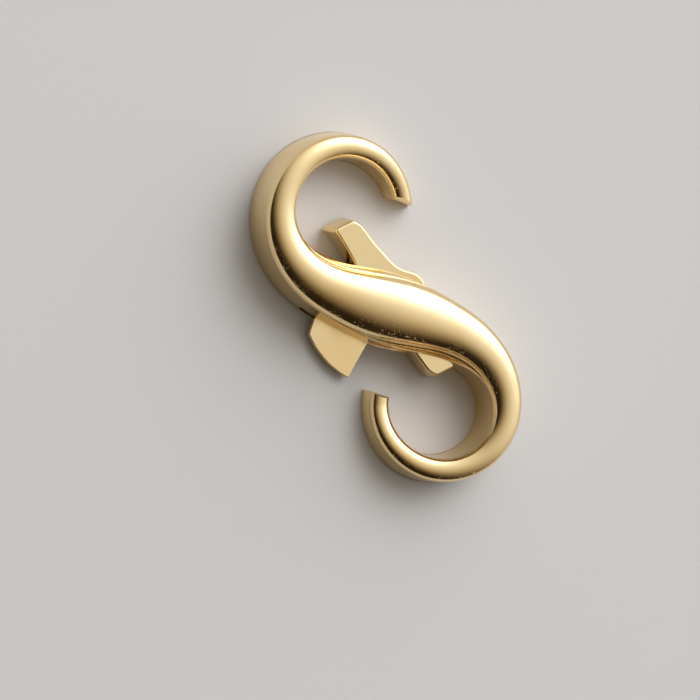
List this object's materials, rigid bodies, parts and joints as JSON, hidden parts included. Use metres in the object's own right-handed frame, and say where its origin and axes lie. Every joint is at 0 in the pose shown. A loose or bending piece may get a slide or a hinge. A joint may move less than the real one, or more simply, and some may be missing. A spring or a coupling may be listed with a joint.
{
  "type": "S-shaped double-ended necklace clasp with a rocking gate lever",
  "caption": "Slim S-shaped necklace clasp, domed in front and flat behind, with a hook at each end and one rocking lever inside whose arms shut both hooks.",
  "frame": {"origin": "middle of the S, on its flat back face", "axes": "+Z out of the domed front, +Y from the lower hook to the upper hook, +X to the right seen from the front"},
  "size_m": [0.01, 0.0211, 0.0039],
  "materials": {
    "polished_gold": "polished yellow gold"
  },
  "bodies": {
    "frame": {"s_body": "polished_gold", "pivot_pin": "polished_gold"},
    "lever": {"gate_lever": "polished_gold"}
  },
  "joints": [
    {"name": "lever_pivot", "type": "hinge", "parent": "frame", "child": "lever", "pos_m": [0.00056, 0.00042, 0.0012], "axis": [0, 0, 1], "range_deg": [-43, 0], "stiffness_Nm_per_rad": 0.002, "springref_deg": -57.3}
  ]
}
